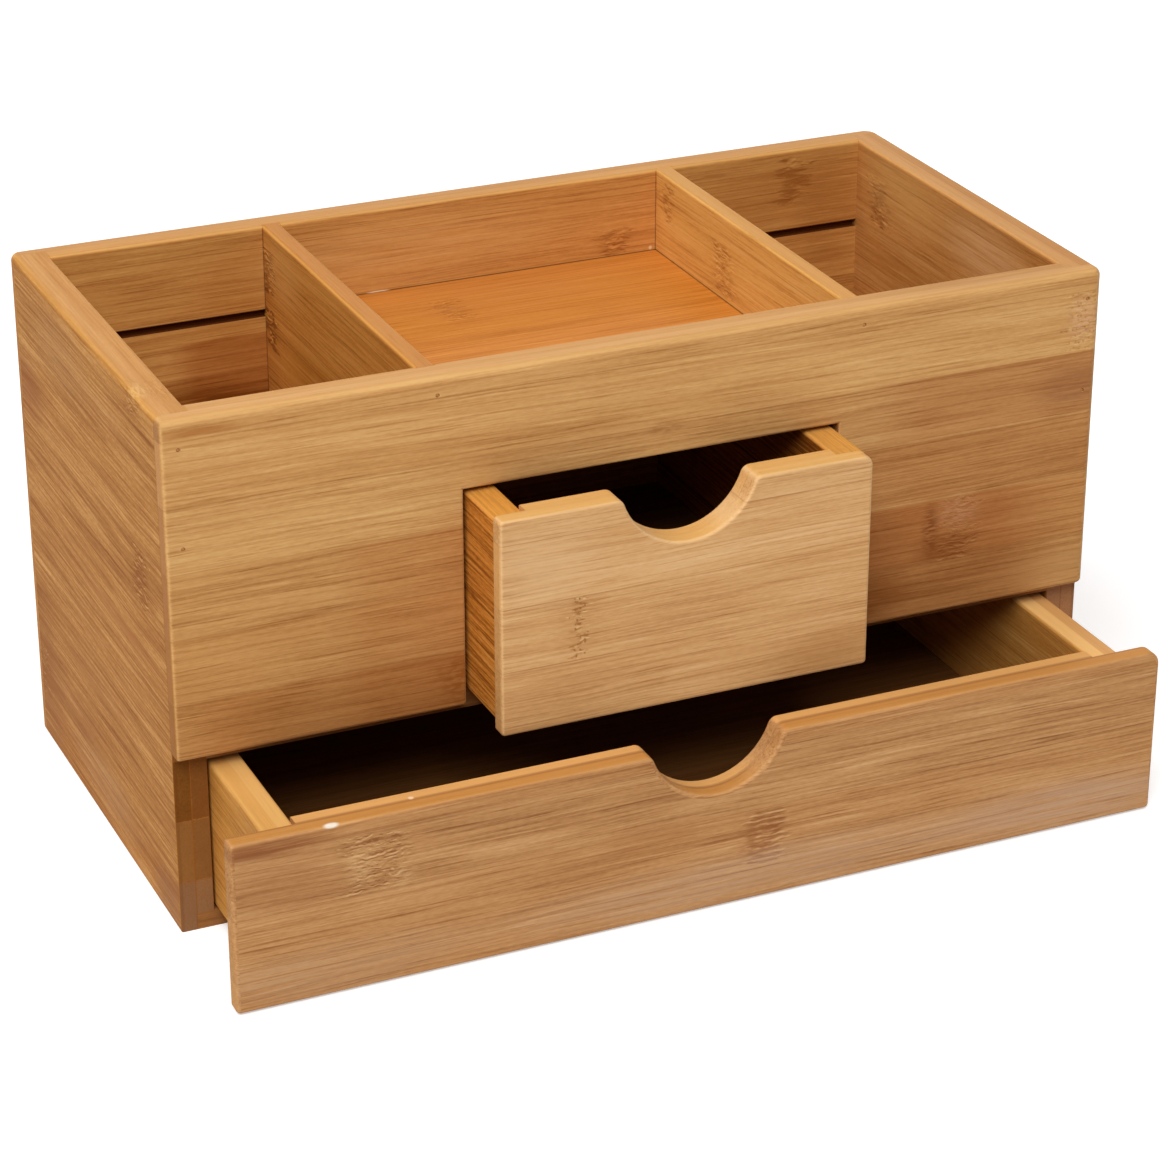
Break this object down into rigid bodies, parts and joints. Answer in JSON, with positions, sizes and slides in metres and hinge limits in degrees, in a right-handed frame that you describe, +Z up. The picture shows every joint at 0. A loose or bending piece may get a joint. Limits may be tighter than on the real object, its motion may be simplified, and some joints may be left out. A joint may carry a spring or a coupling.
{
  "type": "drawer organizer",
  "caption": "Bamboo desktop box with a wide drawer below, a narrow drawer in the middle of its front, two deep open bins and a shallow tray on top; both drawers slide by finger notches.",
  "frame": {"origin": "centre of the box's underside, on the surface that it stands on", "axes": "+X along the width, to the right as seen from the front; -Y towards the user, the way the drawers open; +Z up"},
  "size_m": [0.3, 0.1957, 0.164],
  "materials": {
    "bamboo_sides": "satin clear lacquer over strip-laminated bamboo",
    "bamboo_fascia": "satin clear lacquer over strip-laminated bamboo",
    "bamboo_dividers": "satin clear lacquer over strip-laminated bamboo",
    "bamboo_tray": "satin clear lacquer over strip-laminated bamboo",
    "bamboo_shelf": "satin clear lacquer over strip-laminated bamboo",
    "bamboo_small_drawer_front": "satin clear lacquer over strip-laminated bamboo",
    "bamboo_large_drawer_front": "satin clear lacquer over strip-laminated bamboo",
    "bamboo_drawer_sides": "satin clear lacquer over strip-laminated bamboo",
    "steel_brads": "plain wire, heads set flush"
  },
  "bodies": {
    "box": {"left_side_panel": "bamboo_sides", "right_side_panel": "bamboo_sides", "front_fascia": "bamboo_fascia", "back_board": "bamboo_sides", "left_divider": "bamboo_dividers", "right_divider": "bamboo_dividers", "tray_floor": "bamboo_tray", "shelf_board": "bamboo_shelf", "bottom_panel": "bamboo_shelf", "front_brads": "steel_brads", "back_brads": "steel_brads"},
    "large_drawer": {"large_drawer_front": "bamboo_large_drawer_front", "large_drawer_left_side": "bamboo_drawer_sides", "large_drawer_right_side": "bamboo_drawer_sides", "large_drawer_back": "bamboo_drawer_sides", "large_drawer_base": "bamboo_shelf", "large_drawer_brads": "steel_brads"},
    "small_drawer": {"small_drawer_front": "bamboo_small_drawer_front", "small_drawer_left_side": "bamboo_drawer_sides", "small_drawer_right_side": "bamboo_drawer_sides", "small_drawer_back": "bamboo_drawer_sides", "small_drawer_base": "bamboo_shelf", "small_drawer_brads": "steel_brads"}
  },
  "joints": [
    {"name": "large_drawer_slide", "type": "slide", "parent": "box", "child": "large_drawer", "axis": [0, -1, 0], "range_m": [-0.0454, 0.06]},
    {"name": "small_drawer_slide", "type": "slide", "parent": "box", "child": "small_drawer", "axis": [0, -1, 0], "range_m": [-0.024, 0.08]}
  ]
}
